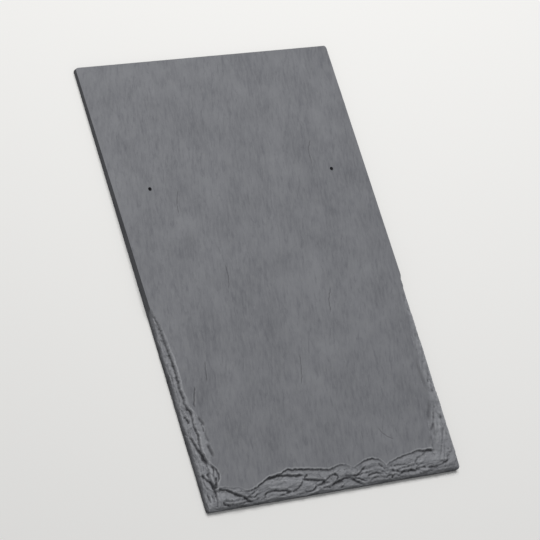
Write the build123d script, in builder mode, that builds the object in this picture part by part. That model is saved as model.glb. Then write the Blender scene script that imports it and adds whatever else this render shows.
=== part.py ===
from build123d import *
import os
from collections import namedtuple
from math import atan2, cos, degrees

# A moulded roof slate. It is one piece: a wedge that is thick at its exposed lower end, the butt,
# and thin at its covered upper end, the head. Three edges of the weather face are dressed as if
# with a slater's hammer. The back is cored out into pockets between ribs.
# The origin is the middle of the back. +X runs along the course, +Y up the slope, +Z out of the
# weather face. Sizes are in millimetres.

# Outline and section
tile_width = 305.0
tile_length = 457.0
butt_thickness = 12.0
head_thickness = 4.5
corner_radius = 3.0

# Dressed edges
dressed_length = 205.0
lip_height = 4.0

# Cored back
skin = 3.0
rim_width = 9.0
rim_slope_run = 21.0
head_band = 72.0
rib_thickness = 2.6
pocket_size = 42.0
pocket_corner_radius = 3.0

# Nailing
nail_hole_diameter = 4.0
nail_boss_diameter = 16.0
nail_to_side = 42.0
nail_to_head = 132.0

# Clearance for cutting tools that run past the stock
overrun = 5.0

half_width = tile_width / 2
half_length = tile_length / 2
face_fall = (butt_thickness - head_thickness) / tile_length
face_angle = degrees(atan2(butt_thickness - head_thickness, tile_length))


def face_height(above_butt):
    """Height of the weather face at a distance up the slope from the butt."""
    return butt_thickness - face_fall * above_butt


# One flake scar: where it starts and ends along the edge, how far it reaches in from the edge at
# those two places, how far its back bows in past the line between them, and how far its floor is
# twisted along the edge, in degrees.
Scar = namedtuple("Scar", "start start_reach end end_reach bow twist")

# A row of scars has floors that rise from the edge to the back. Both heights are shares of the
# depth that is dressed away, from the lip up to the weather face.
ScarRow = namedtuple("ScarRow", "edge_level back_level scars")

butt_rows = [
    ScarRow(0.28, 0.86, [
        Scar(0, 17.5, 39.5, 11, 3.5, 2.0),
        Scar(39.5, 11, 112, 17.5, 8.5, 1.0),
        Scar(78, 21, 145.5, 18.5, 6.5, -1.5),
        Scar(145.5, 18.5, 171.5, 15, 5.0, -2.5),
        Scar(171.5, 15, 213.5, 15, 8.0, 2.0),
        Scar(213.5, 15, 305, 17, 7.5, -1.0),
    ]),
    ScarRow(0.0, 0.46, [
        Scar(0, 14, 54, 2, 3.5, -1.5),
        Scar(54, 3, 100, 5, 5.5, 2.0),
        Scar(100, 5, 144, 6, 6.0, -2.0),
        Scar(144, 4.5, 187, 1, 7.5, 2.0),
        Scar(187, 5, 212, 7, 4.0, -2.5),
        Scar(212, 6, 252, 5.5, 3.5, 1.5),
        Scar(252, 6, 305, 8, 2.5, -1.0),
    ]),
]

left_rows = [
    ScarRow(0.78, 0.98, [
        Scar(105, 9, 139, 17, 4.0, 0.5),
        Scar(139, 17, 161, 13, 4.0, -0.5),
        Scar(161, 13, 186, 10, 7.0, 0.5),
    ]),
    ScarRow(0.0, 0.72, [
        Scar(0, 0, 98, 5, 3.0, 0.3),
        Scar(98, 5, 125, 7.5, 2.5, -1.5),
        Scar(125, 7.5, 148, 6, 2.0, 2.0),
        Scar(148, 6, 169, 5, 3.0, -2.0),
        Scar(169, 5, 191, 9, 1.5, 1.5),
    ]),
]

right_rows = [
    ScarRow(0.36, 0.97, [
        Scar(0, 26, 57, 22, 7.0, -0.5),
        Scar(57, 22, 72, 15.5, 1.5, 1.0),
        Scar(72, 15.5, 115, 11.5, 3.0, -0.5),
        Scar(115, 11.5, 160, 9, 2.0, 0.5),
        Scar(160, 9, 205, 0, 3.0, -0.3),
    ]),
]

# The three dressed edges, walked anticlockwise. Each frame has its X along the edge, its Y inwards
# and its Z up. The two values after it are the distance from the butt at the edge's start and how
# that distance grows along the edge.
DressedEdge = namedtuple("DressedEdge", "frame butt_distance_start butt_distance_rate rows")

dressed_edges = [
    DressedEdge(
        Plane(origin=(-half_width, dressed_length - half_length, 0), x_dir=(0, -1, 0), z_dir=(0, 0, 1)),
        dressed_length, -1, left_rows,
    ),
    DressedEdge(
        Plane(origin=(-half_width, -half_length, 0), x_dir=(1, 0, 0), z_dir=(0, 0, 1)),
        0, 0, butt_rows,
    ),
    DressedEdge(
        Plane(origin=(half_width, -half_length, 0), x_dir=(0, 1, 0), z_dir=(0, 0, 1)),
        0, 1, right_rows,
    ),
]


def scar_floors(edge):
    """The tilted plane of each scar's floor on an edge, and on it the centre and radius of its round back."""
    for row in edge.rows:
        for scar in row.scars:
            middle = (scar.start + scar.end) / 2
            line_reach = (scar.start_reach + scar.end_reach) / 2
            above_butt = edge.butt_distance_start + edge.butt_distance_rate * middle
            dressed_depth = face_height(above_butt) - lip_height
            rise = (row.back_level - row.edge_level) * dressed_depth
            foot = lip_height + row.edge_level * dressed_depth
            dip = atan2(rise, line_reach + scar.bow)
            floor = Plane(edge.frame.location * Location((middle, 0, foot), (degrees(dip), scar.twist, 0)))
            chord = Vector(scar.end - scar.start, (scar.end_reach - scar.start_reach) / cos(dip))
            inward = Vector(-chord.Y, chord.X).normalized()
            radius = (chord.length**2 / 4 + scar.bow**2) / (2 * scar.bow)
            centre = Vector(0, line_reach / cos(dip)) + inward * (scar.bow - radius)
            yield floor, centre, radius


# The cored-out space behind the skin, as one pocket for each cell of the rib grid
core_width = tile_width - 2 * rim_width
core_length = tile_length - rim_width - head_band
core_middle = (rim_width - head_band) / 2
core_depth = butt_thickness - skin
cells_across = round(core_width / (pocket_size + rib_thickness))
cells_along = round(core_length / (pocket_size + rib_thickness))
pitch_across = core_width / cells_across
pitch_along = core_length / cells_along
nail_row = half_length - nail_to_head
nail_spacing = tile_width - 2 * nail_to_side

with BuildPart() as core:
    with BuildSketch(Plane.XY):
        with Locations((0, core_middle)):
            Rectangle(core_width, core_length)
    with BuildSketch(Plane.XY.offset(core_depth)):
        with Locations((0, core_middle)):
            Rectangle(core_width - 2 * rim_slope_run, core_length - 2 * rim_slope_run)
    loft()
    split(
        bisect_by=Plane(
            origin=(0, -half_length, core_depth),
            z_dir=Vector(0, 0, 1).rotate(Axis.X, -face_angle),
        ),
        keep=Keep.BOTTOM,
    )
    with BuildSketch(Plane.XY):
        with Locations((0, core_middle)):
            with GridLocations(pitch_across, pitch_along, cells_across, cells_along):
                RectangleRounded(
                    pitch_across - rib_thickness, pitch_along - rib_thickness, pocket_corner_radius
                )
        with Locations((0, nail_row)):
            with GridLocations(nail_spacing, 0, 2, 1):
                Circle(nail_boss_diameter / 2, mode=Mode.SUBTRACT)
    extrude(amount=core_depth, mode=Mode.INTERSECT)

with BuildPart() as slate_tile:
    # The wedge: its side profile runs from the butt to the head
    with BuildSketch(Plane.YZ.offset(-half_width)):
        with BuildLine():
            Polyline(
                (-half_length, 0),
                (half_length, 0),
                (half_length, head_thickness),
                (-half_length, butt_thickness),
                close=True,
            )
        make_face()
    extrude(amount=tile_width)
    fillet(slate_tile.edges().filter_by(Axis.Z), corner_radius)

    # Flake scars along the dressed edges, each the floor of a wide round bite
    for edge in dressed_edges:
        for floor, centre, radius in scar_floors(edge):
            with BuildSketch(floor):
                with Locations((centre.X, centre.Y)):
                    Circle(radius)
            extrude(amount=butt_thickness + overrun, dir=(0, 0, 1), mode=Mode.SUBTRACT)

    # The pockets in the back
    add(core.part, mode=Mode.SUBTRACT)

    # Two nail holes, through bosses that stand between the pockets
    with BuildSketch(Plane.XY):
        with Locations((0, nail_row)):
            with GridLocations(nail_spacing, 0, 2, 1):
                Circle(nail_hole_diameter / 2)
    extrude(amount=butt_thickness, mode=Mode.SUBTRACT)

slate_tile.part.label = "slate_tile"

os.makedirs("parts", exist_ok=True)
export_step(slate_tile.part, "parts/slate_tile.step")
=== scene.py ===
import math

import bmesh
import bpy
import numpy as np
from mathutils import Matrix, Vector, noise
from mathutils.geometry import delaunay_2d_cdt


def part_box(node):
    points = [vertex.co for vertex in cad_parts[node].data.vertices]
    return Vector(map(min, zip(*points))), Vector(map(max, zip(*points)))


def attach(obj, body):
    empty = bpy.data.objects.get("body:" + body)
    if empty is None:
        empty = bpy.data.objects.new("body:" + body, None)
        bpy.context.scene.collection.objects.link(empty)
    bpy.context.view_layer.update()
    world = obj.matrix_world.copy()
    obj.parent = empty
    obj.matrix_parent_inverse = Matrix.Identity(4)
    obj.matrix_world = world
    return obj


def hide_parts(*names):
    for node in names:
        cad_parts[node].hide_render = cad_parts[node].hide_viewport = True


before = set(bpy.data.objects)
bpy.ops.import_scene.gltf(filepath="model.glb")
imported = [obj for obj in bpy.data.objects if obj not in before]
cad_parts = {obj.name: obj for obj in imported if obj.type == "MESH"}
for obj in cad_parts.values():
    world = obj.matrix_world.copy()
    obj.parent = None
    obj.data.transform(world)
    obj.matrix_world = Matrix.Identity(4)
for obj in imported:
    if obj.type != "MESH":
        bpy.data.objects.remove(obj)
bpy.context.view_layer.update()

# A roof slate moulded in a mineral-filled polymer. Its mould was taken from split and hammer-dressed
# stone, so the weather face is riven and the butt and lower sides are chipped to a bevel.
# Shapes are worked out in millimetres, X from the left side and Y from the butt, and turned to
# metres in the frame's own axes when a mesh is made.
MM = 0.001
low_corner, high_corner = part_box("slate_tile")
tile_width = (high_corner.x - low_corner.x) / MM
tile_length = (high_corner.y - low_corner.y) / MM
butt_thickness = 12.0
head_thickness = 4.5
corner_radius = 3.0
face_fall = (butt_thickness - head_thickness) / tile_length
dressed_length = 205.0

# Heights above the back at the foot of each bevel, and of the lip below it
edge_height = 5.6
right_edge_height = 7.4
lip_height = 3.9
right_lip_height = 6.2

# The arris between the weather face and the butt's bevel: X along the butt, Y up from it
butt_arris = [
    (0, 14), (9, 17), (16, 20.8), (22, 20.4), (30, 18.8), (37, 18), (40, 16.4), (43, 14.4), (50, 14.2),
    (56, 15.8), (62, 18.4), (68, 20.8), (75, 23), (82, 24.2), (90, 25.6), (98, 28.2), (104, 27.4),
    (116, 25.8), (130, 24), (141, 22.2), (146, 20.8), (152, 22.4), (160, 23.8), (167, 23.6), (171, 20.5),
    (175, 18.4), (180, 20), (186, 22.6), (193, 24.4), (201, 24.9), (207, 23.8), (214, 16), (221, 18.6),
    (229, 21), (237, 22.2), (243, 22.8), (247, 23.8), (258, 25.3), (265, 24), (274, 24.4), (288, 21),
    (305, 19),
]
# How far the arris stands over the bevel below it, along the butt
butt_arris_step = [
    (0, 0.3), (10, 1.4), (16, 1.0), (24, 0.7), (36, 0.4), (41, 0.2), (44, 0.9), (52, 1.2), (60, 1.7),
    (72, 2.0), (84, 2.4), (96, 1.8), (106, 1.6), (116, 2.0), (130, 1.6), (142, 1.3), (148, 1.4),
    (158, 1.0), (166, 0.6), (172, 0.1), (178, 0.6), (188, 1.2), (198, 1.5), (206, 1.0), (212, 0.3),
    (216, 0.5), (228, 1.2), (258, 1.1), (266, 1.5), (270, 2.0), (275, 1.8), (279, 0.1), (305, 0.0),
]

# The left side's bevel is cut in two stages: a deep one from the edge to the main arris, and a
# shallow one above it. Here and on the right, Y comes first and then the distance from the side.
left_arris = [
    (0, 12), (12, 12.5), (19, 13), (24, 12.4), (30, 11), (38, 10.8), (46, 12.4), (50, 12), (55, 10.4),
    (60, 10), (66, 10.7), (74, 12.3), (80, 11), (87, 10.5), (94, 11.5), (98, 12.6), (102, 9.6),
    (107, 7.6), (113, 8.8), (119, 7.5), (126, 7.4), (134, 8.2), (147, 8.6), (160, 7.4), (176, 7),
    (190, 4.8), (200, 2.4), (206, 0.4),
]
left_arris_step = [
    (0, 0.2), (12, 1.4), (18, 2.6), (26, 2.2), (32, 0.9), (42, 0.9), (50, 1.8), (60, 1.8), (74, 2.0),
    (86, 1.9), (94, 1.8), (98, 2.3), (108, 1.9), (118, 2.2), (130, 2.1), (148, 2.1), (165, 1.7),
    (185, 1.0), (205, 0.0),
]
left_shallow_arris = [
    (0, 12), (19, 13), (26, 17), (34, 19), (41, 17.5), (46, 14.5), (52, 18.5), (60, 19), (70, 18.4),
    (82, 18.8), (89, 17), (98, 14.6), (106, 11), (120, 9), (147, 10), (176, 8.6), (206, 0.5),
]
left_shallow_drop = 0.9
right_arris = [
    (0, 24), (14, 27), (24, 31), (34, 29.5), (44, 27.3), (51, 25.5), (58, 22), (65, 19), (70, 16.4),
    (82, 16.6), (94, 15.4), (101, 14.2), (112, 12.3), (128, 12.8), (144, 11.5), (160, 9), (178, 8.2),
    (192, 5), (206, 0.5),
]

# How far across a riser runs, at an arris or a ledge
riser_run = 1.2

# Ledges left where flakes broke off: each is walked with its low side on the right, and gives its
# drop, how far the ground takes to come up again, and the points it passes through.
butt_ledges = [
    (1.9, 6.6, [
        (14, 19.2), (19, 18.6), (24, 17.4), (29, 15), (35, 11.8), (40, 9.6), (45, 7.2), (50, 4.4),
        (55, 2.2),
    ]),
    (1.8, 6.0, [
        (72, 20.6), (78, 22.2), (85, 23.2), (92, 23.2), (99, 22.4), (105, 21.6), (111, 20.6), (118, 19),
    ]),
    (1.0, 3.6, [(44, 6.6), (49, 9.2), (52.5, 11), (56, 13.2)]),
    (0.7, 3.0, [(46.5, 5.2), (52, 6.9), (57.5, 9.2), (62, 10)]),
    (1.6, 5.4, [(64, 6.4), (70, 8.9), (75, 9.9), (81, 9.7), (87, 9.0), (92, 8.5), (97, 7.0), (100, 4.8)]),
    (1.3, 4.8, [(100, 5.2), (103, 7.2), (106, 8.4), (109, 10), (112, 12.4), (114, 15)]),
    (0.8, 3.0, [(61, 2.2), (65.5, 4.8), (69, 7)]),
    (1.0, 3.6, [(83, 6.4), (90, 4.6), (95, 2.2), (99, 0.6)]),
    (1.6, 3.6, [(17, 6.6), (21, 4.7), (24, 3.1), (27, 1.7)]),
    (0.8, 3.0, [(32, 0.8), (36, 2.5), (39.5, 3.5), (44, 2.7)]),
    (0.8, 3.0, [(1, 2.3), (6, 2.7), (11, 1.7), (17, 0.6)]),
    (2.0, 6.0, [(113, 16.4), (118, 16), (122, 15.2), (128, 14), (134, 12.4), (139, 10.8), (143, 9.8)]),
    (1.5, 5.4, [(135, 8.8), (138.5, 10.2), (142, 12.2), (145.5, 14.2), (150, 16), (154, 16.4)]),
    (1.4, 3.0, [(121, 19.6), (119.6, 17.4), (117, 15.8)]),
    (0.7, 2.4, [(140, 8.4), (145, 10.5), (150, 12), (154, 13.6)]),
    (1.6, 3.0, [(152.5, 16.6), (155.8, 13.7), (155.6, 11), (154, 9)]),
    (2.6, 6.6, [
        (145, 4.8), (149.5, 7), (153, 8.7), (158, 10), (164, 10.9), (170.5, 9.8), (176.5, 7.2),
        (181, 4.6), (185, 2.2), (189, 0.6),
    ]),
    (1.3, 4.8, [(163, 13.4), (168, 12), (173, 11.2), (178, 11.2), (182, 13.1), (186, 15.7), (191, 18.4)]),
    (1.6, 3.6, [(174, 9.4), (181, 8), (186, 5.8), (191, 3.8)]),
    (1.7, 4.8, [(190, 7.6), (197, 10.2), (202, 10.8), (206, 10), (210, 7.6)]),
    (0.9, 3.0, [(193, 3.2), (198, 5.4), (202, 6.4), (206, 6.7)]),
    (1.6, 4.2, [(114, 5.8), (119, 4), (123.5, 4.4), (128, 6.8), (133, 8.6), (138, 9.6)]),
    (0.7, 2.4, [(124, 9.8), (129, 9.1), (133.5, 7.7)]),
    (0.9, 3.0, [(135, 5.5), (141.5, 4.9), (146.5, 3.2)]),
    (0.8, 3.6, [(156, 0.8), (160, 3.5), (164, 5.8), (168, 6.6), (173, 5.4)]),
    (1.0, 4.8, [(249.5, 12), (253.5, 16.4), (257, 18.6), (261.5, 19.9), (267, 21.2)]),
    (0.9, 3.6, [(207, 11.6), (212, 10.2), (216.5, 10.4), (221, 10.6), (226, 9.3)]),
    (0.6, 3.6, [(206, 20), (209.6, 16.4), (212, 12.6), (212.8, 9.8)]),
    (1.7, 5.4, [(226, 10.2), (232, 8), (238, 7.7), (245, 7.6), (249.5, 7.1), (252.5, 5.2)]),
    (1.4, 4.2, [(250, 8.9), (257, 8.3), (264, 8.6)]),
    (1.2, 4.8, [(264, 6.4), (270, 7.4), (277, 7.6), (283, 8), (288, 9.6), (294, 11.8)]),
    (1.5, 4.2, [(257, 1.8), (264, 3), (269, 3.5), (275, 4)]),
    (1.4, 4.2, [(254, 4.2), (257, 2.0), (261, 1.2), (265, 1.9)]),
    (1.3, 3.6, [(217, 3.6), (223, 2.6), (230, 2.2), (238, 2.6), (246, 1.6)]),
    (0.9, 3.6, [(180, 1.6), (188, 2.8), (195, 2.2), (204, 1.4)]),
    (1.4, 3.6, [(210, 2.8), (214, 5), (217.5, 6.2), (221.5, 5.4), (225.5, 6.2), (231, 4.2), (237, 1.8)]),
    (0.9, 3.0, [(217.5, 0.6), (220, 3.4), (222.5, 5.8)]),
    (0.6, 3.6, [(223, 13.6), (230, 14.5), (237, 13.5), (245, 11)]),
    (0.5, 3.0, [(252, 10.2), (257, 11.8), (262.5, 13.2)]),
]
left_ledges = [
    (1.6, 3.0, [(0.2, 82), (1, 78.5), (2.4, 75.5)]),
    (2.0, 4.8, [
        (2, 77), (3.6, 75), (5.4, 72), (6.2, 68), (7.5, 62), (9.4, 57), (11, 53), (12.7, 48), (13, 42),
    ]),
    (2.0, 4.8, [(4.3, 37.5), (5.8, 33), (8, 30), (10.6, 27.6), (12.8, 24), (14.2, 19.6)]),
    (1.0, 3.0, [(8.7, 37), (9.2, 33), (9.2, 29)]),
    (1.0, 2.4, [(0.5, 38), (1.7, 34), (1.0, 29)]),
    (1.0, 3.0, [(3, 150), (2.8, 140), (3.2, 135), (2.4, 128), (3, 122)]),
    (1.6, 3.6, [(4.8, 96), (6, 92), (7.2, 88)]),
    (1.3, 4.8, [(13.2, 46), (16, 42), (18.6, 38.4), (19.8, 34), (19.5, 29.6), (17.4, 26.4), (13.8, 25.2)]),
    (1.2, 3.0, [(15.4, 43), (16.4, 38.6), (14.9, 34), (13.4, 30.5)]),
    (2.0, 4.2, [(17, 31), (15.4, 26.5), (14, 20)]),
    (0.7, 3.0, [(17.5, 85), (18.3, 80), (18, 76)]),
    (1.0, 2.4, [(4.4, 17.5), (5.1, 13), (4.8, 8)]),
    (1.0, 2.4, [(9, 16), (8.6, 12), (8.2, 8)]),
    (0.7, 3.0, [(2.4, 118), (3.4, 112), (2.2, 106)]),
    (0.7, 3.0, [(2.0, 66), (3.2, 61), (2.4, 56), (3.4, 50)]),
    (0.6, 2.4, [(4.6, 20), (5.4, 15), (4.6, 10)]),
]
right_ledges = [
    (0.25, 4.8, [(280, 42), (284, 47), (287, 53), (291, 62)]),
    (0.2, 4.8, [(288, 86), (289.5, 94), (291, 102), (293, 111)]),
    (0.3, 4.8, [(294, 41), (298, 45), (297, 52), (294, 58)]),
    (0.25, 4.2, [(279, 12), (285, 19), (289, 29), (293, 36)]),
    (0.2, 4.2, [(293, 122), (294.5, 132), (295, 146)]),
]

# Shallow hollows with soft edges, on the butt, beside the left bevel and down the right one. Each gives
# its depth, its half width and the points it passes through.
soft_hollows = [
    (0.6, 1.2, [(169, 9.2), (175, 6.8), (180, 4), (184, 1.8)]),
    (0.25, 2.4, [(3, 76), (4.6, 81), (6.4, 86.5)]),
    (0.9, 2.0, [(13.6, 26), (13.8, 23), (14.2, 19.5)]),
    (0.8, 1.5, [(257.5, 1.6), (260, 2.2), (262.5, 1.8)]),
    (0.85, 1.7, [(15.8, 92.5), (18.4, 87), (20.8, 82)]),
    (0.5, 1.6, [(19.8, 79), (18.6, 74), (19.2, 69), (20.6, 64.5)]),
    (1.05, 1.8, [(16.8, 65.5), (18.4, 58.5), (20.2, 50)]),
    (0.55, 2.4, [(281, 51), (284.5, 60), (288, 68), (290, 74)]),
    (0.45, 2.2, [(278, 41), (283, 45), (287, 50)]),
    (0.25, 2.0, [(272, 26), (275, 32), (279, 38)]),
    (0.3, 1.8, [(283, 36), (285, 42), (288, 48)]),
    (0.4, 2.6, [(290, 118), (289.5, 104), (291, 92), (294, 80)]),
    (0.3, 1.3, [(295, 60), (298, 57), (300, 53)]),
    (0.3, 1.1, [(294, 38), (297, 41), (299, 45)]),
    (0.25, 1.2, [(284, 4), (290, 20), (297, 38)]),
]

# Short open cracks in the weather face, given in the same way
face_cracks = [
    (0.5, 0.8, [(23, 122), (21.5, 118), (19.4, 113.6), (17.4, 109), (16, 105), (16.8, 101)]),
    (0.3, 0.6, [(38, 125), (40.5, 131), (41.5, 138), (44, 146)]),
    (0.25, 0.6, [(144, 108), (148, 116), (152, 128), (155.5, 141)]),
    (0.22, 0.6, [(218, 54), (221, 48), (226, 43), (233, 40)]),
    (0.25, 0.6, [(96, 214), (100, 226), (101, 240)]),
    (0.25, 0.6, [(206, 176), (209, 188), (215, 203)]),
    (0.22, 0.6, [(66, 296), (69, 310), (75, 322)]),
    (0.22, 0.6, [(241, 331), (243, 347), (249, 358)]),
]

# Moulded back: a skin behind the weather face, a rim, and pockets between ribs
skin = 3.0
rim_width = 9.0
rim_slope_run = 21.0
head_band = 72.0
rib_thickness = 2.6
pocket_size = 42.0
pocket_corner_radius = 3.0
nail_hole_radius = 2.0
nail_boss_radius = 8.0
nail_to_side = 42.0
nail_to_head = 132.0


def noise_field(x, y, size_x, size_y, seed):
    """Smooth noise from about -1 to 1 at each point, with patches of the given sizes."""
    return np.array([noise.noise((px / size_x, py / size_y, seed)) for px, py in zip(x, y)])


def smooth_line(points, step=1.0):
    """Points every step or so along a Catmull-Rom curve through the given ones."""
    knots = [np.array(point, float) for point in points]
    knots = [2 * knots[0] - knots[1]] + knots + [2 * knots[-1] - knots[-2]]
    line = []
    for a, b, c, d in zip(knots, knots[1:], knots[2:], knots[3:]):
        count = max(2, int(np.linalg.norm(c - b) / step))
        for t in np.arange(count) / count:
            bend = (2 * a - 5 * b + 4 * c - d) * t**2 + (3 * b - a - 3 * c + d) * t**3
            line.append(0.5 * (2 * b + (c - a) * t + bend))
    line.append(knots[-2])
    return np.array(line)


def along(points, at):
    """The second value of a list of pairs, read at the first."""
    first, second = zip(*points)
    return np.interp(at, first, second)


def near_line(x, y, line, margin):
    """For the points near a line: which they are, distance, side (right is positive) and place along it."""
    box_low, box_high = line.min(0) - margin, line.max(0) + margin
    in_box = (x > box_low[0]) & (x < box_high[0]) & (y > box_low[1]) & (y < box_high[1])
    chosen = np.nonzero(in_box)[0]
    start, span = line[:-1], np.diff(line, axis=0)
    length = np.hypot(*span.T)
    before = np.concatenate([[0.0], np.cumsum(length)[:-1]])
    offset = np.stack([x[chosen], y[chosen]], 1)[:, None] - start[None]
    share = np.clip((offset * span).sum(2) / length**2, 0, 1)
    gap = offset - share[..., None] * span
    distance = np.hypot(gap[..., 0], gap[..., 1])
    best = distance.argmin(1)
    rows = np.arange(len(chosen))
    cross = span[best, 0] * offset[rows, best, 1] - span[best, 1] * offset[rows, best, 0]
    place = (before[best] + share[rows, best] * length[best]) / length.sum()
    return chosen, distance[rows, best], -np.sign(cross), place


def swell(place, fullness=2.6):
    """Rises from 0 at both ends of a line to 1: the greater the fullness, the sooner."""
    return np.clip(fullness * np.sin(np.pi * place), 0, 1)


def in_layers(depth, thickness):
    """Turns a slope into the steps of a layered stone: flat treads with short risers between them."""
    riser_share = 0.32
    layers = depth / thickness
    whole = np.floor(layers)
    riser = np.clip((layers - whole - 0.5) / riser_share + 0.5, 0, 1)
    return thickness * (whole + riser * riser * (3 - 2 * riser))


def cell_chances(cell_x, cell_y, seed):
    """Five random numbers from 0 to 1 for each cell of a grid."""
    mixers = ((12.9898, 78.233), (39.346, 11.135), (73.156, 52.235), (27.168, 96.441), (61.7, 19.3))
    scramble = 43758.5453
    return [np.modf(np.abs(np.sin(cell_x * a + cell_y * b + seed) * scramble))[0] for a, b in mixers]


def flake_facets(x, y, size_x, size_y, seed):
    """Uneven facets, as flakes leave them: each has its own tilt and height, in a jumbled grid."""
    grid_x, grid_y = x / size_x, y / size_y
    nearest = np.full(len(x), 1e9)
    value = np.zeros(len(x))
    for step_x in (-1, 0, 1):
        for step_y in (-1, 0, 1):
            cell_x, cell_y = np.floor(grid_x) + step_x, np.floor(grid_y) + step_y
            centre_x, centre_y, tilt_x, tilt_y, lift = cell_chances(cell_x, cell_y, seed)
            off_x, off_y = grid_x - cell_x - centre_x, grid_y - cell_y - centre_y
            away = off_x**2 + off_y**2
            facet = (tilt_x - 0.5) * off_x + (tilt_y - 0.5) * off_y + 0.5 * (lift - 0.5)
            value = np.where(away < nearest, facet, value)
            nearest = np.minimum(nearest, away)
    return value


class WeatherSide:
    """The weather side at many points at once: their height above the back, how far each is dressed
    (0 to 1), and how far its colour is darkened (0 to 1), mostly painted shade in creases and at the lips."""

    def __init__(self, x, y):
        self.x, self.y = x, y

        # Lines in broken stone aren't clean, so everything is read a little to one side
        clean_edge = 3
        read_x = x + 0.6 * noise_field(x, y, 3, 3, 1.5) + 0.9 * noise_field(x, y, 11, 11, 2.5)
        read_y = y + 0.6 * noise_field(x, y, 3, 3, 3.5) + 0.7 * noise_field(x, y, 11, 11, 4.5)
        self.read_x = np.where(x < clean_edge, x, read_x)
        self.read_y = np.where(y < clean_edge, y, read_y)

        # The sides' dressing falls unevenly to nothing over the last of its length
        fading_length = 12
        to_end = np.maximum(dressed_length - y, 0) / fading_length
        self.side_ends = np.clip(to_end * (1 + 0.8 * noise_field(x, y, 5, 5, 14.5)), 0, 1)

        # How far a point lies beyond each arris, and as a share of the way out to the edge
        butt_reach = along(butt_arris, self.read_x)
        left_reach = along(left_arris, self.read_y)
        right_reach = along(right_arris, self.read_y)
        self.beyond_butt = butt_reach - self.read_y
        self.beyond_left = left_reach - self.read_x
        beyond_right = right_reach - (tile_width - self.read_x)
        self.butt_share = self.beyond_butt / butt_reach
        self.left_share = np.where(y < dressed_length, self.beyond_left / left_reach, -1)
        self.right_share = np.where(y < dressed_length, beyond_right / right_reach, -1)
        ragged = 0.35 * noise_field(x, y, 9, 14, 12.5)
        self.right_dressing = np.clip(1.8 * self.right_share + ragged, 0, 1) * (self.right_share > 0)

        # The left side's shallow stage comes off the face before its deep one
        shallow_reach = np.maximum(along(left_shallow_arris, self.read_y), left_reach)
        shallow_run = np.maximum(shallow_reach - left_reach, 0.5)
        self.in_shallow = np.clip((shallow_reach - self.read_x) / shallow_run, 0, 1) * self.side_ends
        self.face = butt_thickness - face_fall * y
        self.upper = self.face - left_shallow_drop * self.in_shallow**1.2

        self.butt_step = self.arris_riser(butt_arris_step, self.read_x, self.beyond_butt, self.butt_share)
        self.left_step = self.arris_riser(left_arris_step, self.read_y, self.beyond_left, self.left_share)
        self.height, self.dressed = self.broken_down()
        self.height -= self.slanting_ridges()
        self.recess = self.shade_amount()
        self.cut_ledges()
        self.open_cracks()
        self.sink_hollows()
        self.height += self.dressed * self.flakes_and_grit()
        self.break_to_lip()

    @staticmethod
    def arris_riser(step, place, beyond, share):
        """An arris stands over its bevel by a short riser. The bevel makes up for it on the way out."""
        riser = np.clip(beyond / riser_run, 0, 1) * (share > 0)
        return along(step, place) * riser * (1 - 0.9 * np.clip(share, 0, 1))

    def bevel_depth(self):
        """How deep the three bevels lie under the face, blended where they meet at the corners."""
        blend = 0.55
        # A bevel's full fall, the share of the way out to its edge, the power of its curve, and its fading
        bevels = (
            (self.face - edge_height, self.butt_share, 1.4, 1),
            (self.upper - edge_height, self.left_share, 1.3, self.side_ends**0.7),
            (self.face - right_edge_height, self.right_share, 1.5, self.side_ends**0.7),
        )
        together = 0
        for fall, share, curve, fade in bevels:
            together += np.exp(blend * fall * np.sign(share) * np.abs(share) ** curve * fade)
        return np.maximum(np.log(together) / blend, 0)

    def broken_down(self):
        """The height once the bevels are broken down in lumps and layers, and how far it is dressed."""
        x, y = self.x, self.y
        side_dressing = np.maximum(np.clip(5 * self.left_share, 0, 1), self.right_dressing)
        dressed = np.maximum(np.clip(5 * self.butt_share, 0, 1), side_dressing * self.side_ends)
        share = np.max([self.butt_share, self.left_share, self.right_share], axis=0)
        lumps = 1.3 * noise_field(x, y, 24, 13, 5.5) + 0.45 * noise_field(x, y, 8, 5, 6.5)
        depth = self.bevel_depth() * np.clip(10 * share, 0, 1) + lumps * dressed

        # The layers show best on the butt, and least on the right
        clearness = np.where(self.butt_share > 0, 1, np.where(self.left_share > 0, 0.6, 0.3))
        for thickness, patch_long, patch_wide, seed in ((1.7, 17, 11, 11.5), (0.8, 12, 6, 17.5)):
            patches = np.clip(0.5 + 0.9 * noise_field(x, y, patch_long, patch_wide, seed), 0, 1)
            layering = patches * np.clip(depth - 1, 0, 1) * clearness
            depth += layering * (in_layers(depth, thickness) - depth)
        depth = np.maximum(depth, 0) + np.maximum(self.butt_step, self.left_step)
        dressed = np.maximum(dressed, 0.8 * np.clip(4 * self.in_shallow, 0, 1))
        return self.upper - depth * (share > 0), dressed

    def slanting_ridges(self):
        """Down the right bevel the break has long fine ridges, at a slant to the edge."""
        slant = math.radians(22)
        ridge_height, ridge_width, ridge_length = 0.55, 2.6, 13
        across = self.x * math.cos(slant) - self.y * math.sin(slant)
        down = self.x * math.sin(slant) + self.y * math.cos(slant)
        ridges = noise_field(across, down, ridge_width, ridge_length, 13.5)
        return ridge_height * ridges * self.right_dressing

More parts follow.
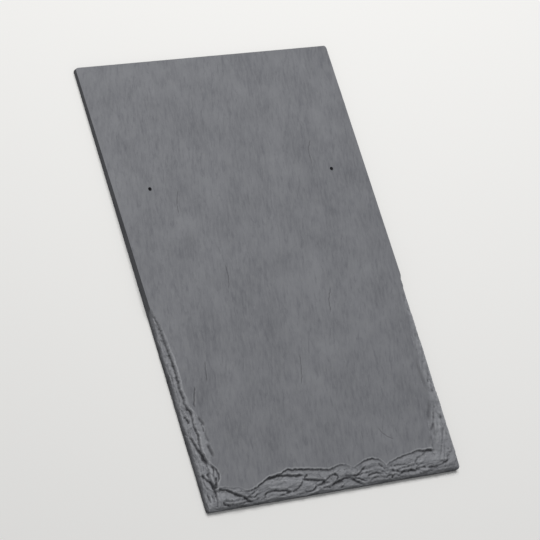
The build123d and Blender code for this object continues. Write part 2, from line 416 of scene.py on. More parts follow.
    def shade_amount(self):
        """Painted shade along the foot of each arris and at the left side's lip, and a darkening low on the
        butt's bevel.
        """
        x, y = self.x, self.y
        full_step = 1.4
        # Painted shade along the foot of each arris
        butt_foot = np.exp(-((self.beyond_butt - 0.9) / 0.85) ** 2)
        left_foot = np.exp(-((self.beyond_left - 0.7) / 0.8) ** 2)
        butt_crease = butt_foot * np.clip(self.butt_step / full_step, 0, 1)
        left_crease = left_foot * np.clip(self.left_step / full_step, 0, 1)
        # Darker low on the butt's bevel, towards its lip
        butt_patches = np.clip(0.7 + 0.8 * noise_field(x, y, 13, 4, 16.5), 0, 1)
        butt_low_darkening = 0.85 * butt_patches * np.clip(1 - y / 12, 0, 1) * np.clip(x / 22, 0.2, 1)
        # Painted shade at the left side's lip, as in the shade of a joint between tiles
        left_patches = np.clip(0.6 + 0.9 * noise_field(x, y, 4, 13, 18.5), 0, 1)
        left_lip_shade = 0.5 * left_patches * np.clip(1 - x / 7, 0, 1) * np.clip((y - 8) / 16, 0, 1)
        return np.max([butt_crease, left_crease, butt_low_darkening, left_lip_shade * self.side_ends], axis=0)

    def deepen(self, chosen, depth, shade_amount):
        """Lowers the chosen points and paints shade in them."""
        self.height[chosen] -= depth
        self.recess[chosen] = np.maximum(self.recess[chosen], shade_amount)

    def cut_ledges(self):
        """Steps the ground down on the low side of each ledge, with painted shade along its foot."""
        # For their drop, the low ledges of the right side take twice as much painted shade
        for ledges, shade_share in ((butt_ledges, 0.5), (left_ledges, 0.5), (right_ledges, 1.0)):
            for drop, recovery, points in ledges:
                line = smooth_line(points)
                chosen, distance, side, place = near_line(self.read_x, self.read_y, line, recovery + 1)
                low_side = distance * side
                fade = swell(place)
                riser = np.clip(low_side / (0.9 * riser_run) + 0.5, 0, 1)
                scoop = np.clip(1 - np.maximum(low_side, 0) / recovery, 0, 1)
                uneven = 1 + 0.5 * noise_field(self.x[chosen], self.y[chosen], 8, 8, 15.5)
                shade_depth = shade_share * drop
                crease = np.exp(-((low_side - 0.3) / (0.45 + 0.4 * shade_depth)) ** 2)
                shade_amount = crease * fade * min(1, shade_depth / 0.7)
                self.deepen(chosen, drop * uneven * riser * scoop * fade, shade_amount)

    def open_cracks(self):
        """Cuts a fine groove along each crack, with painted shade in it."""
        for crack_depth, half_width, points in face_cracks:
            chosen, distance, _, place = near_line(self.read_x, self.read_y, smooth_line(points), 3)
            groove = np.exp(-(distance / half_width) ** 2) * swell(place)
            self.deepen(chosen, crack_depth * groove, 0.7 * groove)

    def sink_hollows(self):
        """Sinks a soft bowl along each hollow, with painted shade that darkens the deeper it is."""
        for hollow_depth, half_width, points in soft_hollows:
            chosen, distance, _, place = near_line(self.x, self.y, smooth_line(points), 3 * half_width)
            bowl = hollow_depth * np.exp(-(distance / half_width) ** 2) * swell(place, 1.3)
            self.deepen(chosen, bowl, 1.2 * bowl)

    def flakes_and_grit(self):
        """The facets of wide and of small flakes, and grit."""
        x, y = self.x, self.y
        wide_flakes = 0.5 * flake_facets(self.read_x, self.read_y, 10, 6, 1.0)
        small_flakes = 0.3 * flake_facets(self.read_x, self.read_y, 4, 2.4, 2.0)
        grit = 0.16 * noise_field(x, y, 3.0, 1.8, 7.5) + 0.06 * noise_field(x, y, 1.3, 1.1, 8.5)
        return wide_flakes + small_flakes + grit

    def break_to_lip(self):
        """The last of each bevel breaks off steeply to the lip."""
        x, y = self.x, self.y
        wander = noise_field(x, y, 14, 14, 9.5) + 0.5 * noise_field(x, y, 4, 4, 10.5)
        # How far in from an edge, the height of its lip, how far in the break runs, and its fading
        edges = (
            (y, lip_height, 2.6, 1),
            (x, lip_height, 1.6, self.side_ends),
            (tile_width - x, right_lip_height, 1.4, self.side_ends),
        )
        for from_edge, lip, run, fade in edges:
            break_run = np.maximum(run * (1 + 0.7 * wander), 0.4)
            limit = lip + 0.5 * wander + 2.6 * np.minimum(from_edge / break_run, 1) ** 1.3
            limit += 2.5 * np.maximum(from_edge - break_run, 0)
            self.height += np.minimum(limit - self.height, 0) * fade
        self.height = np.maximum(self.height, lip_height - 1.2)


def round_corner(x, y):
    """Draws the square corners of the outline in to the corner radius."""
    centre_x = np.clip(x, corner_radius, tile_width - corner_radius)
    centre_y = np.clip(y, corner_radius, tile_length - corner_radius)
    off_x, off_y = x - centre_x, y - centre_y
    reach = np.hypot(off_x, off_y)
    shrink = np.where(reach > 0, np.maximum(abs(off_x), abs(off_y)) / np.maximum(reach, 1e-9), 1)
    return centre_x + off_x * shrink, centre_y + off_y * shrink


def inner_points():
    """Points over the weather side: close together where it is dressed or cracked, wide elsewhere."""
    random_source = np.random.default_rng(7)
    butt_band, left_band, right_band, field_length = 33.0, 25.0, 34.0, 165.0
    crack_lines = [smooth_line(points) for _, _, points in face_cracks]

    def in_butt_band(x, y):
        return y < butt_band

    def in_left_band(x, y):
        return (y >= butt_band) & (y < dressed_length) & (x < left_band)

    def in_right_band(x, y):
        return (y >= butt_band) & (y < dressed_length) & (x > tile_width - right_band)

    def in_crack(x, y):
        found = np.zeros(len(x), bool)
        for line in crack_lines:
            chosen, distance, _, _ = near_line(x, y, line, 3)
            found[chosen[distance < 1.8]] = True
        return found & ~in_butt_band(x, y) & ~in_left_band(x, y)

    def in_plain(x, y):
        return ~(in_butt_band(x, y) | in_left_band(x, y) | in_right_band(x, y) | in_crack(x, y))

    def in_field(x, y):
        return (y < field_length) & in_plain(x, y)

    def in_cover(x, y):
        return (y >= field_length) & in_plain(x, y)

    # How far apart the points are, and where
    spacings = (
        (0.6, in_butt_band), (0.6, in_left_band), (0.85, in_right_band), (0.5, in_crack),
        (1.6, in_field), (2.6, in_cover),
    )
    jitter, margin = 0.28, 0.3
    points = []
    for spacing, wanted in spacings:
        columns = np.arange(spacing / 2, tile_width, spacing)
        rows = np.arange(spacing / 2, tile_length, spacing)
        x, y = [grid.ravel() for grid in np.meshgrid(columns, rows)]
        keep = wanted(x, y)
        x, y = x[keep], y[keep]
        x = x + random_source.uniform(-jitter, jitter, len(x)) * spacing
        y = y + random_source.uniform(-jitter, jitter, len(y)) * spacing
        inside = (x > margin) & (x < tile_width - margin) & (y > margin) & (y < tile_length - margin)
        points.append(np.stack([x[inside], y[inside]], 1))
    return np.concatenate(points)


def outline_points():
    """Points round the outline, anticlockwise from the left end of the butt."""
    spacing, plain_count = 0.7, 110
    across = np.linspace(0, tile_width, int(tile_width / spacing) + 1)
    dressed_part = np.arange(0, dressed_length, spacing)
    up = np.concatenate([dressed_part, np.linspace(dressed_length, tile_length, plain_count)])
    return np.concatenate([
        np.stack([across[:-1], np.zeros(len(across) - 1)], 1),
        np.stack([np.full(len(up) - 1, tile_width), up[:-1]], 1),
        np.stack([across[:0:-1], np.full(len(across) - 1, tile_length)], 1),
        np.stack([np.zeros(len(up) - 1), up[:0:-1]], 1),
    ])


def lay_weather_side(work):
    """Meshes the weather side, and marks how dressed and open to the weather it is, how much painted shade
    it takes, and where creases and arrises take painted shade and highlight.
    """
    edge = outline_points()
    flat = np.concatenate([edge, inner_points()])
    ring = [(i, (i + 1) % len(edge)) for i in range(len(edge))]
    corners = [Vector(corner) for corner in zip(*round_corner(flat[:, 0], flat[:, 1]))]
    placed, _, faces = delaunay_2d_cdt(corners, ring, [], 1, 1e-7)[:3]
    x, y = np.array([corner[0] for corner in placed]), np.array([corner[1] for corner in placed])
    side = WeatherSide(x, y)
    for position in zip(x, y, side.height):
        work.verts.new(position)

    from_rim = np.minimum(np.minimum(x, tile_width - x), np.minimum(y, tile_length - y))
    weather = np.clip(from_rim / 3 - 0.1, 0, 1)
    # Where creases take painted shade and arrises a painted highlight: what is dressed, and away from the
    # rim
    wear = np.clip(np.maximum(side.dressed * weather, from_rim / 4 - 1.5), 0, 1)
    marks = {"dressed": side.dressed, "recess": side.recess, "wear": wear, "weather": weather}
    for name, values in marks.items():
        layer = work.verts.layers.float.new(name)
        for vertex, value in zip(work.verts, values):
            vertex[layer] = value
    work.verts.ensure_lookup_table()
    for face in faces:
        work.faces.new([work.verts[i] for i in face])


def chipped_share(y, least):
    """How rough the sides are: fully so where they are dressed, and least in the covered part."""
    return min(1.0, max(least, least + (dressed_length - y) / 15))


def add_sides_and_back(work):
    """Takes the rim down to the back in three rings, and closes the back."""
    marks = work.verts.layers.float
    rim = [edge for edge in work.edges if edge.is_boundary]
    for height_share in (0.62, 0.25, 0.0):
        ring = bmesh.ops.extrude_edge_only(work, edges=rim)["geom"]
        for vertex in [part for part in ring if isinstance(part, bmesh.types.BMVert)]:
            vertex.co.z *= height_share
            vertex[marks["weather"]] = 0.0
            vertex[marks["wear"]] = 0.0
            vertex[marks["dressed"]] = chipped_share(vertex.co.y, 0.3)
        rim = [part for part in ring if isinstance(part, bmesh.types.BMEdge)]
    bmesh.ops.contextual_create(work, geom=rim)
    bmesh.ops.recalc_face_normals(work, faces=work.faces)


def chip_sides(work):
    """Lets the sides waver a little where they were chipped, inside the outline."""
    for vertex in work.verts:
        x, y, z = vertex.co
        from_side = min(x, y, tile_width - x, tile_length - y)
        if from_side < 0.6:
            wide, fine = noise.noise((x / 7, y / 7, z / 5 + 9.5)), noise.noise((x / 2, y / 2, z / 2))
            pull = 0.55 * chipped_share(y, 0.25) * max(0.0, 0.5 + 0.5 * wide + 0.3 * fine)
            if from_side in (x, tile_width - x):
                vertex.co.x += pull if x < tile_width / 2 else -pull
            else:
                vertex.co.y += pull if y < tile_length / 2 else -pull


def add_object(name, data):
    """Adds an object to the scene, in the frame's own place."""
    added = bpy.data.objects.new(name, data)
    bpy.context.scene.collection.objects.link(added)
    return added


def finish_work(work, name):
    """Turns work in millimetres into an object in metres, in the frame's axes."""
    work.transform(Matrix.Translation(low_corner) @ Matrix.Scale(MM, 4))
    mesh = bpy.data.meshes.new(name)
    work.to_mesh(mesh)
    work.free()
    return add_object(name, mesh)


def blank_tile():
    """The tile before its back is cored: weather side, rough sides and a flat back, as one closed skin."""
    work = bmesh.new()
    lay_weather_side(work)
    add_sides_and_back(work)
    chip_sides(work)
    return finish_work(work, "roof_slate_blank")


def add_node(tree, kind, inputs=None, **settings):
    """Adds one node with its settings. Each input, named or numbered, takes a value, a socket, a node
    (its first output is linked) or a list of several to link."""
    node = tree.nodes.new(kind)
    for name, value in settings.items():
        setattr(node, name, value)
    for key, value in (inputs or {}).items():
        for source in value if isinstance(value, list) else [value]:
            if isinstance(source, bpy.types.Node):
                source = source.outputs[0]
            if isinstance(source, bpy.types.NodeSocket):
                tree.links.new(source, node.inputs[key])
            else:
                node.inputs[key].default_value = source
    return node


def geometry_tree(name, sizes):
    """A Geometry Nodes tree with a mesh in, a mesh out and a named input for each size."""
    kinds = {
        int: "NodeSocketInt", float: "NodeSocketFloat",
        bpy.types.Object: "NodeSocketObject", bpy.types.Material: "NodeSocketMaterial",
    }
    tree = bpy.data.node_groups.new(name, "GeometryNodeTree")
    tree.interface.new_socket("Mesh", in_out="INPUT", socket_type="NodeSocketGeometry")
    tree.interface.new_socket("Mesh", in_out="OUTPUT", socket_type="NodeSocketGeometry")
    for label, value in sizes.items():
        tree.interface.new_socket(label, in_out="INPUT", socket_type=kinds[type(value)])
    return tree, add_node(tree, "NodeGroupInput").outputs


def finish_tree(tree, mesh, material):
    """Ends a Geometry Nodes tree in plain mesh of one material."""
    plain = add_node(tree, "GeometryNodeRealizeInstances", {0: mesh})
    covered = add_node(tree, "GeometryNodeSetMaterial", {"Geometry": plain, "Material": material})
    add_node(tree, "NodeGroupOutput", {"Mesh": covered})


def run_tree(piece, tree, sizes):
    """Runs a tree on a piece and gives the result as a plain mesh."""
    modifier = piece.modifiers.new(tree.name, "NODES")
    modifier.node_group = tree
    for item in tree.interface.items_tree:
        if item.in_out == "INPUT" and item.name in sizes:
            modifier[item.identifier] = sizes[item.name]
    bpy.context.view_layer.update()
    evaluated = piece.evaluated_get(bpy.context.evaluated_depsgraph_get())
    result = bpy.data.meshes.new_from_object(evaluated)
    piece.modifiers.remove(modifier)
    return result


def riven_relief(blank, material):
    """Waves, ripples and grain of split stone on the weather side, by a rule, and a mark of creases and
    arrises for painted shade and highlight.
    """
    sizes = {
        "Material": material,
        "Wave height": 0.44 * MM,
        "Wave size": 55.0 * MM,
        "Ripple height": 0.32 * MM,
        "Ripple width": 9.0 * MM,
        "Ripple length": 30.0 * MM,
        "Grain height": 0.18 * MM,
        "Grain width": 3.4 * MM,
        "Grain length": 14.0 * MM,
        "Lean": math.radians(12.0),
        "Riser softness": 1,
        "Hollow depth": 0.33 * MM,
        "Hollow reach": 5,
        "Seed": 3,
    }
    tree, given = geometry_tree("riven_relief", sizes)
    dressed, wear, weather = [
        add_node(tree, "GeometryNodeInputNamedAttribute", {"Name": name}, data_type="FLOAT")
        for name in ("dressed", "wear", "weather")
    ]
    position = add_node(tree, "GeometryNodeInputPosition")
    height = add_node(tree, "ShaderNodeSeparateXYZ", {0: position}).outputs["Z"]
    turned = add_node(
        tree, "ShaderNodeVectorRotate", {"Vector": position, "Angle": given["Lean"]},
        rotation_type="Z_AXIS",
    )
    flat = add_node(tree, "ShaderNodeVectorMath", {0: turned, 1: (1.0, 1.0, 0.0)}, operation="MULTIPLY")

    def stone_noise(width, length, detail, seed_step):
        patch = add_node(tree, "ShaderNodeCombineXYZ", {0: width, 1: length, 2: 1.0})
        placed = add_node(tree, "ShaderNodeVectorMath", {0: flat, 1: patch}, operation="DIVIDE")
        seed = add_node(tree, "ShaderNodeMath", {0: given["Seed"], 1: seed_step}, operation="ADD")
        return add_node(
            tree, "ShaderNodeTexNoise", {"Vector": placed, "W": seed, "Scale": 1.0, "Detail": detail},
            noise_dimensions="4D",
        )

    # Each of the three patterns swings about its middle by its own height
    patterns = add_node(tree, "ShaderNodeCombineXYZ", {
        0: stone_noise(given["Wave size"], given["Wave size"], 1.0, 0.0),
        1: stone_noise(given["Ripple width"], given["Ripple length"], 2.0, 10.0),
        2: stone_noise(given["Grain width"], given["Grain length"], 2.0, 20.0),
    })
    swings = add_node(tree, "ShaderNodeVectorMath", {0: patterns, 1: (0.5, 0.5, 0.5)}, operation="SUBTRACT")
    heights = add_node(tree, "ShaderNodeCombineXYZ", {
        0: given["Wave height"], 1: given["Ripple height"], 2: given["Grain height"],
    })
    relief = add_node(tree, "ShaderNodeVectorMath", {0: swings, 1: heights}, operation="DOT_PRODUCT")
    lift = add_node(tree, "ShaderNodeMath", {0: relief.outputs["Value"], 1: weather}, operation="MULTIPLY")
    offset = add_node(tree, "ShaderNodeCombineXYZ", {"Z": lift})
    riven = add_node(tree, "GeometryNodeSetPosition", {"Geometry": given["Mesh"], "Offset": offset})

    # Steep risers are evened out a little, so that the mesh doesn't show in them
    evened = add_node(
        tree, "GeometryNodeBlurAttribute", {0: height, "Iterations": given["Riser softness"]},
        data_type="FLOAT",
    )
    change = add_node(tree, "ShaderNodeMath", {0: evened, 1: height}, operation="SUBTRACT")
    for share in (dressed, weather):
        change = add_node(tree, "ShaderNodeMath", {0: change, 1: share}, operation="MULTIPLY")
    offset = add_node(tree, "ShaderNodeCombineXYZ", {"Z": change})
    softened = add_node(tree, "GeometryNodeSetPosition", {"Geometry": riven, "Offset": offset})

    # How far each point lies under the mean of its neighbours: over 0 in a crease, under 0 on an arris. It
    # marks where shade is painted into the creases and a highlight onto the arrises.
    mean = add_node(
        tree, "GeometryNodeBlurAttribute", {0: height, "Iterations": given["Hollow reach"]},
        data_type="FLOAT",
    )
    below = add_node(tree, "ShaderNodeMath", {0: mean, 1: height}, operation="SUBTRACT")
    hollow = add_node(tree, "ShaderNodeMath", {0: below, 1: given["Hollow depth"]}, operation="DIVIDE")
    hollow = add_node(tree, "ShaderNodeMath", {0: hollow, 1: wear}, operation="MULTIPLY")
    marked = add_node(
        tree, "GeometryNodeStoreNamedAttribute", {"Geometry": softened, "Name": "hollow", "Value": hollow},
        data_type="FLOAT", domain="POINT",
    )
    finish_tree(tree, marked, given["Material"])
    blank.data = run_tree(blank, tree, sizes)


def core_block():
    """The space behind the skin, inside the rim: its roof runs parallel to the weather face."""
    roof = butt_thickness - skin
    slope = roof / rim_slope_run
    far_start = tile_length - head_band
    near_run = (roof - face_fall * rim_width) / (slope + face_fall)
    far_run = (roof - face_fall * far_start) / (slope - face_fall)
    # It starts a little behind the back, so that the pockets come out open
    below = 1.0
    work = bmesh.new()
    for end, run, inward in ((rim_width, near_run, 1), (far_start, far_run, -1)):
        for inset in (-below / slope, run):
            for x in (rim_width + inset, tile_width - rim_width - inset):
                work.verts.new((x, end + inward * inset, slope * inset))
    bmesh.ops.convex_hull(work, input=work.verts)
    bmesh.ops.recalc_face_normals(work, faces=work.faces)
    return finish_work(work, "core_block")


def pocket_prism(tree, given):
    """One pocket's prism: a rectangle with round corners, from well behind the back to above the face."""
    outline = add_node(tree, "GeometryNodeCurvePrimitiveQuadrilateral", {
        side: add_node(tree, "ShaderNodeMath", {0: pitch, 1: given["Rib thickness"]}, operation="SUBTRACT")
        for side, pitch in (("Width", given["Pitch across"]), ("Height", given["Pitch along"]))
    })
    rounded = add_node(
        tree, "GeometryNodeFilletCurve", {"Curve": outline, "Count": 5, "Radius": given["Corner radius"]},
        mode="POLY",
    )
    floor = add_node(tree, "GeometryNodeFillCurve", {"Curve": rounded}, mode="NGONS")
    behind = (0.0, 0.0, -butt_thickness * MM)
    floor = add_node(tree, "GeometryNodeSetPosition", {"Geometry": floor, "Offset": behind})
    length = 2 * butt_thickness * MM
    raised = add_node(tree, "GeometryNodeExtrudeMesh", {
        "Mesh": floor, "Offset": (0.0, 0.0, 1.0), "Offset Scale": length, "Individual": False,
    }, mode="FACES")
    turned = add_node(tree, "GeometryNodeFlipFaces", {"Mesh": floor})
    joined = add_node(tree, "GeometryNodeJoinGeometry", {0: [raised, turned]})
    return add_node(tree, "GeometryNodeMergeByDistance", {"Geometry": joined, "Distance": 1e-6})


def pocket_grid(tree, given, prism):
    """The prism at every cell of the rib grid."""
    sizes = []
    for pitch, count in (("Pitch across", "Columns"), ("Pitch along", "Rows")):
        steps = add_node(tree, "ShaderNodeMath", {0: given[count], 1: 1.0}, operation="SUBTRACT")
        sizes.append(add_node(tree, "ShaderNodeMath", {0: given[pitch], 1: steps}, operation="MULTIPLY"))
    grid = add_node(tree, "GeometryNodeMeshGrid", {
        "Size X": sizes[0], "Size Y": sizes[1], "Vertices X": given["Columns"], "Vertices Y": given["Rows"],
    })
    middle = add_node(tree, "ShaderNodeCombineXYZ", {"Y": given["Core middle"]})
    cells = add_node(tree, "GeometryNodeSetPosition", {"Geometry": grid, "Offset": middle})
    pockets = add_node(tree, "GeometryNodeInstanceOnPoints", {"Points": cells, "Instance": prism})
    return add_node(tree, "GeometryNodeRealizeInstances", {0: pockets})


def rods_at_nails(tree, given, radius, sides):
    """An upright rod at each nail's place."""
    left = add_node(tree, "ShaderNodeMath", {0: given["Nail spacing"], 1: -0.5}, operation="MULTIPLY")
    start = add_node(tree, "ShaderNodeCombineXYZ", {"X": left, "Y": given["Nail row"]})
    step = add_node(tree, "ShaderNodeCombineXYZ", {"X": given["Nail spacing"]})
    spots = add_node(
        tree, "GeometryNodeMeshLine", {"Count": 2, "Start Location": start, "Offset": step}, mode="OFFSET"
    )
    rod = add_node(tree, "GeometryNodeMeshCylinder", {
        "Vertices": sides, "Radius": radius, "Depth": 8 * butt_thickness * MM,
    })
    rods = add_node(tree, "GeometryNodeInstanceOnPoints", {"Points": spots, "Instance": rod})
    return add_node(tree, "GeometryNodeRealizeInstances", {0: rods})


def mould_back(blank, material):
    """Cores the back out into pockets between ribs, leaves the nail bosses and opens the nail holes."""
    core_width = tile_width - 2 * rim_width
    core_length = tile_length - rim_width - head_band
    columns = round(core_width / (pocket_size + rib_thickness))
    rows = round(core_length / (pocket_size + rib_thickness))
    core = core_block()
    sizes = {
        "Columns": columns,
        "Rows": rows,
        "Pitch across": core_width / columns * MM,
        "Pitch along": core_length / rows * MM,
        "Rib thickness": rib_thickness * MM,
        "Corner radius": pocket_corner_radius * MM,
        "Core middle": (rim_width - head_band) / 2 * MM,
        "Nail spacing": (tile_width - 2 * nail_to_side) * MM,
        "Nail row": (tile_length / 2 - nail_to_head) * MM,
        "Boss radius": nail_boss_radius * MM,
        "Hole radius": nail_hole_radius * MM,
        "Core": core,
        "Material": material,
    }
    tree, given = geometry_tree("moulded_back", sizes)
    pockets = pocket_grid(tree, given, pocket_prism(tree, given))
    bosses = rods_at_nails(tree, given, given["Boss radius"], 40)
    holes = rods_at_nails(tree, given, given["Hole radius"], 24)
    core_space = add_node(tree, "GeometryNodeObjectInfo", {"Object": given["Core"]}).outputs["Geometry"]

    common = {"operation": "INTERSECT", "solver": "MANIFOLD"}
    remainder = {"operation": "DIFFERENCE", "solver": "MANIFOLD"}
    cored = add_node(tree, "GeometryNodeMeshBoolean", {"Mesh 2": [pockets, core_space]}, **common)
    cored = add_node(tree, "GeometryNodeMeshBoolean", {"Mesh 1": cored, "Mesh 2": bosses}, **remainder)
    tile = given["Mesh"]
    for taken in (cored, holes):
        tile = add_node(tree, "GeometryNodeMeshBoolean", {"Mesh 1": tile, "Mesh 2": taken}, **remainder)
    finish_tree(tree, tile, given["Material"])
    mesh = run_tree(blank, tree, sizes)
    bpy.data.objects.remove(core)
    return mesh


def linear(hex_colour):
    """An sRGB hex colour as the linear colour that a shader takes."""
    parts = [int(hex_colour[i:i + 2], 16) / 255 for i in (1, 3, 5)]
    return tuple(p / 12.92 if p <= 0.04045 else ((p + 0.055) / 1.055) ** 2.4 for p in parts) + (1.0,)


def shader_tree(owner):
    """The shader tree of a material or of the world, emptied."""
    owner.use_nodes = True
    owner.node_tree.nodes.clear()
    return owner.node_tree


def stone_pattern(tree, size, detail, y_rate=1.0, lean=0.0, roughness=0.55, warp=0.0):
    """Noise with patches of a size in millimetres. A y_rate below 1 draws them out up the slope."""
    where = add_node(tree, "ShaderNodeTexCoord").outputs["Object"]
    turned = add_node(
        tree, "ShaderNodeVectorRotate", {"Vector": where, "Angle": math.radians(lean)},
        rotation_type="Z_AXIS",
    )
    rates = tuple(rate / (size * MM) for rate in (1.0, y_rate, 1.0))
    scaled = add_node(tree, "ShaderNodeMapping", {"Vector": turned, "Scale": rates})
    return add_node(tree, "ShaderNodeTexNoise", {
        "Vector": scaled, "Scale": 1.0, "Detail": detail, "Roughness": roughness, "Distortion": warp,
    })


def layer_splits(tree, dressed):
    """Thin splits between the stone's layers. They follow the lie of the break, less so on the right."""
    layer_thickness = 0.8 * MM
    where = add_node(tree, "ShaderNodeTexCoord").outputs["Object"]
    rise = (0.0, face_fall / layer_thickness, 1 / layer_thickness)
    layer = add_node(tree, "ShaderNodeVectorMath", {0: where, 1: rise}, operation="DOT_PRODUCT")
    wandering = add_node(
        tree, "ShaderNodeMath", {0: stone_pattern(tree, 7, 3), 1: 1.6, 2: layer.outputs["Value"]},
        operation="MULTIPLY_ADD",
    )
    from_split = add_node(tree, "ShaderNodeMath", {0: wandering, 1: 0.5}, operation="PINGPONG")
    opened = add_node(tree, "ShaderNodeMapRange", {
        "Value": from_split, "From Min": 0.0, "From Max": 0.16, "To Min": 1.0, "To Max": 0.0,
    })
    broken_up = add_node(tree, "ShaderNodeMapRange", {
        "Value": stone_pattern(tree, 5, 3), "From Min": 0.42, "From Max": 0.6, "To Min": 0.0, "To Max": 1.0,
    })
    less_on_right = add_node(tree, "ShaderNodeMapRange", {
        "Value": add_node(tree, "ShaderNodeSeparateXYZ", {0: where}),
        "From Min": 115 * MM, "From Max": 135 * MM, "To Min": 1.0, "To Max": 0.3,
    })
    split = dressed
    for share in (opened, broken_up, less_on_right):
        split = add_node(tree, "ShaderNodeMath", {0: split, 1: share}, operation="MULTIPLY")
    return split


def slate_colour(tree, dressed, split):
    """A bluish dark grey in soft patches, streaked up the slope, with pale mineral flecks. Where it is
    dressed it is paler, with a painted highlight on the arrises and painted shade in the creases and at the
    lips."""
    recess = add_node(tree, "ShaderNodeAttribute", attribute_name="recess").outputs["Fac"]
    hollow = add_node(tree, "ShaderNodeAttribute", attribute_name="hollow").outputs["Fac"]
    mottle = stone_pattern(tree, 9, 4, y_rate=0.45, lean=14, roughness=0.65, warp=0.5)
    pale_streaks = stone_pattern(tree, 2.6, 4, y_rate=0.24, lean=12, warp=0.3)
    dark_streaks = stone_pattern(tree, 3.6, 4, y_rate=0.26, lean=15, roughness=0.65, warp=0.5)
    uneven = add_node(tree, "ShaderNodeMapRange", {
        "Value": stone_pattern(tree, 7, 3), "From Min": 0.3, "From Max": 0.7, "To Min": 0.3, "To Max": 0.95,
    })
    broken = add_node(tree, "ShaderNodeMath", {0: dressed, 1: uneven}, operation="MULTIPLY")

    # A pattern, its values where the tint starts and where it is full, the full amount, and the tint
    tints = (
        (stone_pattern(tree, 34, 4), 0.3, 0.7, 1.0, "#7a7b7f"),
        (mottle, 0.45, 0.72, 0.5, "#616268"),
        (pale_streaks, 0.3, 0.7, 0.65, "#7c7d80"),
        (dark_streaks, 0.52, 0.75, 0.6, "#56575d"),
        (stone_pattern(tree, 0.9, 2), 0.6, 0.8, 0.35, "#828386"),
        (broken, 0.0, 1.0, 1.0, "#909195"),
        # Painted light: a highlight on the arrises, shade in the creases, and the shade marked on the mesh
        (hollow, -0.1, -1.0, 0.6, "#b0b1b4"),
        (hollow, 0.1, 0.9, 0.85, "#2d2d31"),
        (recess, 0.0, 1.0, 0.5, "#2d2d31"),
        (split, 0.0, 1.0, 0.6, "#36363a"),
    )
    colour = linear("#606166")
    for pattern, start, full, amount, tint in tints:
        share = add_node(tree, "ShaderNodeMapRange", {
            "Value": pattern, "From Min": start, "From Max": full, "To Min": 0.0, "To Max": amount,
        })
        # A colour mix has its factor at 0, its colours at 6 and 7, and the result at 2
        mix = add_node(tree, "ShaderNodeMix", {0: share, 6: colour, 7: linear(tint)}, data_type="RGBA")
        colour = mix.outputs[2]
    return colour


def fine_relief(tree, dressed, split):
    """Relief too fine for the mesh: a riven grain 1.5 mm wide, grit of 0.8 mm, and a rough break where
    it is dressed. Splits between the layers stand open a little."""
    grain = stone_pattern(tree, 1.5, 5, y_rate=0.18, lean=12, roughness=0.65, warp=0.6)
    grit = stone_pattern(tree, 0.8, 3)
    rough_break = stone_pattern(tree, 2.4, 6, roughness=0.7)
    broken = add_node(tree, "ShaderNodeMath", {0: rough_break, 1: dressed}, operation="MULTIPLY")
    height = 0.0
    for pattern, amount in ((grain, 0.14), (grit, 0.05), (broken, 0.75), (split, -0.2)):
        height = add_node(
            tree, "ShaderNodeMath", {0: pattern, 1: amount, 2: height}, operation="MULTIPLY_ADD"
        )
    return add_node(tree, "ShaderNodeBump", {"Height": height, "Strength": 1.0, "Distance": 1.0 * MM})


def composite_slate():
    """Mineral-filled polymer, moulded from split stone: dull and dark grey, with a fine up-slope grain."""
    material = bpy.data.materials.new("moulded_composite_slate")
    tree = shader_tree(material)
    dressed = add_node(tree, "ShaderNodeAttribute", attribute_name="dressed").outputs["Fac"]
    split = layer_splits(tree, dressed)
    dullness = add_node(tree, "ShaderNodeMapRange", {
        "Value": stone_pattern(tree, 1.6, 3),
        "From Min": 0.3, "From Max": 0.7, "To Min": 0.54, "To Max": 0.68,
    })
    surface = add_node(tree, "ShaderNodeBsdfPrincipled", {
        "Base Color": slate_colour(tree, dressed, split),
        "Roughness": dullness,
        "Normal": fine_relief(tree, dressed, split),
        "IOR": 1.5,
        "Specular IOR Level": 0.5,
    })
    add_node(tree, "ShaderNodeOutputMaterial", {"Surface": surface})
    return material


def shade(mesh):
    """Smooth shading, broken at real edges."""
    mesh.shade_smooth()
    mesh.set_sharp_from_angle(angle=math.radians(50))


def build_tile():
    """The whole tile as one piece, in place of the solid's node."""
    material = composite_slate()
    blank = blank_tile()
    riven_relief(blank, material)
    mesh = mould_back(blank, material)
    bpy.data.objects.remove(blank)
    mesh.name = "moulded_roof_slate"
    shade(mesh)
    tile = add_object("moulded_roof_slate", mesh)
    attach(tile, "root")
    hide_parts("slate_tile")


def choose_by_ray(tree, seen, otherwise):
    """Shows one shader to the camera, while another gives the light."""
    ray = add_node(tree, "ShaderNodeLightPath").outputs["Is Camera Ray"]
    return add_node(tree, "ShaderNodeMixShader", {0: ray, 1: otherwise, 2: seen})


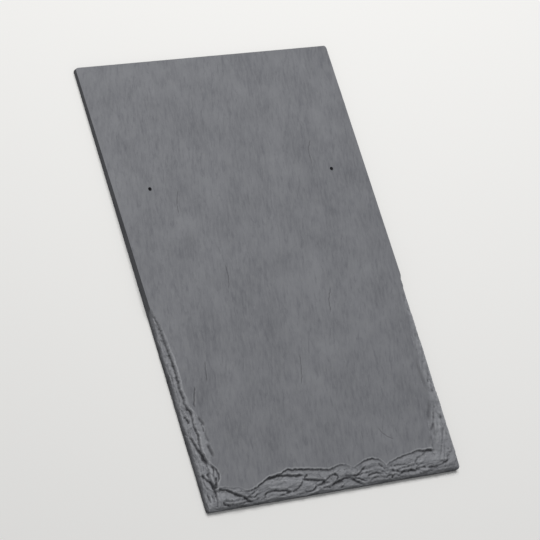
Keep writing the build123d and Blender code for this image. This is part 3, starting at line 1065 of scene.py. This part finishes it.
def floor_paint():
    """Pale matt paint that throws little light back up at the tile."""
    material = bpy.data.materials.new("pale_matt_paint")
    tree = shader_tree(material)
    pale = add_node(tree, "ShaderNodeBsdfDiffuse", {"Color": linear("#faf9f7"), "Roughness": 0.8})
    dim = add_node(tree, "ShaderNodeBsdfDiffuse", {"Color": linear("#8c8b89"), "Roughness": 0.8})
    add_node(tree, "ShaderNodeOutputMaterial", {"Surface": choose_by_ray(tree, pale, dim)})
    return material


def lay_floor():
    """A wide pale matt floor under the tile's back."""
    half, level = 6.0, low_corner.z - 0.2 * MM
    corners = [(x, y, level) for x, y in ((-half, -half), (half, -half), (half, half), (-half, half))]
    mesh = bpy.data.meshes.new("studio_floor")
    mesh.from_pydata(corners, [], [(0, 1, 2, 3)])
    mesh.materials.append(floor_paint())
    floor = add_object("studio_floor", mesh)


def set_lights():
    """A broad soft light over the head of the tile, and an even pale surround."""
    world = bpy.data.worlds.new("pale_surround")
    tree = shader_tree(world)
    around = add_node(tree, "ShaderNodeBackground", {"Color": linear("#eef0f2"), "Strength": 0.33})
    behind = add_node(tree, "ShaderNodeBackground", {"Color": linear("#f4f3f1"), "Strength": 1.0})
    add_node(tree, "ShaderNodeOutputWorld", {"Surface": choose_by_ray(tree, behind, around)})
    bpy.context.scene.world = world

    lamp = bpy.data.lights.new("head_side_softbox", "AREA")
    lamp.shape = "RECTANGLE"
    lamp.size = 1.6
    lamp.size_y = 1.2
    lamp.energy = 38.0
    softbox = add_object("head_side_softbox", lamp)
    toward, away = Vector((0.0, 0.5, 0.866)).normalized(), 2.2
    softbox.location = toward * away
    softbox.rotation_euler = toward.to_track_quat("Z", "Y").to_euler()


def set_camera():
    """The photograph's view of a tile: over its left side and butt, turned so that the butt lies across."""
    right = Vector((0.80523, -0.28672, 0.51903))
    up = Vector((0.10484, 0.93037, 0.35131))
    back = right.cross(up)
    target = Vector((0.0, 0.0, 0.006))
    distance = 3.85
    lens = bpy.data.cameras.new("view_of_photo")
    lens.sensor_width = 36.0
    lens.lens = 262.0
    lens.clip_end = 50.0
    camera = add_object("view_of_photo", lens)
    turn = Matrix((right, up, back)).transposed().to_4x4()
    camera.matrix_world = Matrix.Translation(target + back * distance) @ turn
    bpy.context.scene.camera = camera


set_camera()
bpy.context.scene.view_settings.view_transform = "Standard"
build_tile()
lay_floor()
set_lights()
